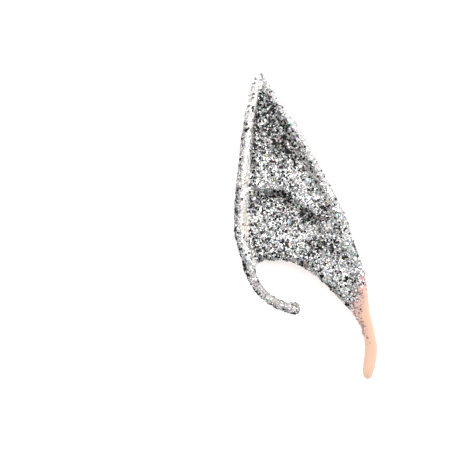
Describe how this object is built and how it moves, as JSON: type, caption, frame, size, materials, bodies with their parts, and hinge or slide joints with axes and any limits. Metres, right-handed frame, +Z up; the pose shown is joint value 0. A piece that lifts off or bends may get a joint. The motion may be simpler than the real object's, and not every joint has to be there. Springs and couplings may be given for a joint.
{
  "type": "elf ear tip",
  "caption": "Hollow pointed latex ear tip with rolled rims, a curled hook in front and a soft tail behind, coated in silver glitter.",
  "frame": {"origin": "on the surface that the ear tip lies on, under the middle of its length and width", "axes": "+Z up out of the face of the ear, +Y from the tail's end to the point, +X from the front rim to the rear rim"},
  "size_m": [0.0558, 0.1198, 0.0167],
  "materials": {
    "latex": "soft satin, flesh coloured",
    "glitter": "loose silver and rainbow flakes set in clear glue"
  },
  "bodies": {
    "root": {"ear_tip": "latex"}
  },
  "joints": []
}
